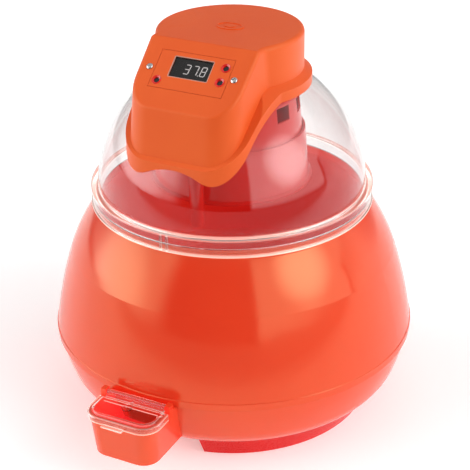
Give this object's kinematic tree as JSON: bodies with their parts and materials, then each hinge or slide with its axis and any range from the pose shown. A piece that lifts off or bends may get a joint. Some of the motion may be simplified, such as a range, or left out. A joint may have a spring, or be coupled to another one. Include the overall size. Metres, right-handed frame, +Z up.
{
  "type": "egg incubator",
  "caption": "Round forced-air egg incubator: bulb-shaped plastic housing with a water filling spout, a clear dome and a thermostat head with display and buttons.",
  "frame": {"origin": "on the vertical axis of the housing, at the plane the feet stand on", "axes": "+Z up; the filling spout and the control panel face -Y; +X is to the right seen from the front"},
  "size_m": [0.36, 0.4122, 0.3874],
  "materials": {
    "orange_gloss": "glossy moulded orange-red plastic",
    "orange_satin": "satin moulded orange plastic",
    "clear_plastic": "clear polished plastic",
    "red_plastic": "deep red plastic",
    "dark_plastic": "black plastic",
    "smoked_window": "smoked clear plastic",
    "lit_digits": "pale lit strokes",
    "rubber": "soft black rubber",
    "steel": "bright zinc-plated steel",
    "board_green": "green circuit board",
    "ceramic": "white ceramic",
    "heater_sheath": "dull heat-stained steel",
    "aluminium": "bare aluminium",
    "white_plastic": "white nylon"
  },
  "bodies": {
    "base": {"base_basin": "orange_gloss", "channel_ring": "orange_gloss", "foot_ring": "orange_gloss", "rubber_feet": "rubber", "foot_screws": "steel", "egg_tray": "red_plastic", "water_spout": "orange_gloss", "spout_hinge_pin": "steel"},
    "shell": {"upper_shell": "orange_gloss"},
    "lid": {"dome": "clear_plastic", "head_cover": "orange_satin", "cable_gland": "dark_plastic", "head_base_plate": "red_plastic", "plate_screws": "steel", "top_emblem": "orange_satin", "panel_cover": "orange_satin", "button_collars": "red_plastic", "panel_carrier": "dark_plastic", "panel_screws": "steel", "display_module": "dark_plastic", "display_digits": "lit_digits", "display_lens": "smoked_window", "circuit_board": "board_green", "board_spacers": "white_plastic", "tact_switches": "dark_plastic", "power_transformer": "steel", "terminal_block": "white_plastic", "air_collar": "red_plastic", "dome_clamp_ring": "red_plastic", "drum_skirt": "red_plastic", "drum_grille": "red_plastic", "fan_motor": "aluminium", "motor_bracket": "steel", "heater_coil": "heater_sheath", "heater_insulators": "ceramic", "thermal_cutout": "dark_plastic", "probe_tube": "red_plastic", "temperature_sensor": "steel"},
    "filler_lid": {"spout_lid": "clear_plastic", "spout_lid_emblem": "clear_plastic"},
    "fan": {"fan_impeller": "dark_plastic", "fan_shaft": "steel"},
    "left_button": {"button_left": "dark_plastic"},
    "upper_button": {"button_upper": "dark_plastic"},
    "lower_button": {"button_lower": "dark_plastic"}
  },
  "joints": [
    {"name": "shell_lift", "type": "slide", "parent": "base", "child": "shell", "axis": [0, 0, 1], "range_m": [0, 0.25]},
    {"name": "lid_lift", "type": "slide", "parent": "shell", "child": "lid", "axis": [0, 0, 1], "range_m": [0, 0.2]},
    {"name": "filler_lid_hinge", "type": "hinge", "parent": "base", "child": "filler_lid", "pos_m": [-0.005, -0.1885, 0.0845], "axis": [-1, 0, 0], "range_deg": [0, 100]},
    {"name": "fan_spin", "type": "hinge", "parent": "lid", "child": "fan", "pos_m": [0, 0, 0.268], "axis": [0, 0, 1], "continuous": true},
    {"name": "left_button_press", "type": "slide", "parent": "lid", "child": "left_button", "axis": [0, 0.6374, -0.7705], "range_m": [0, 0.001], "stiffness_N_per_m": 300, "springref_m": -0.001},
    {"name": "upper_button_press", "type": "slide", "parent": "lid", "child": "upper_button", "axis": [0, 0.6374, -0.7705], "range_m": [0, 0.001], "stiffness_N_per_m": 300, "springref_m": -0.001},
    {"name": "lower_button_press", "type": "slide", "parent": "lid", "child": "lower_button", "axis": [0, 0.6374, -0.7705], "range_m": [0, 0.001], "stiffness_N_per_m": 300, "springref_m": -0.001}
  ]
}
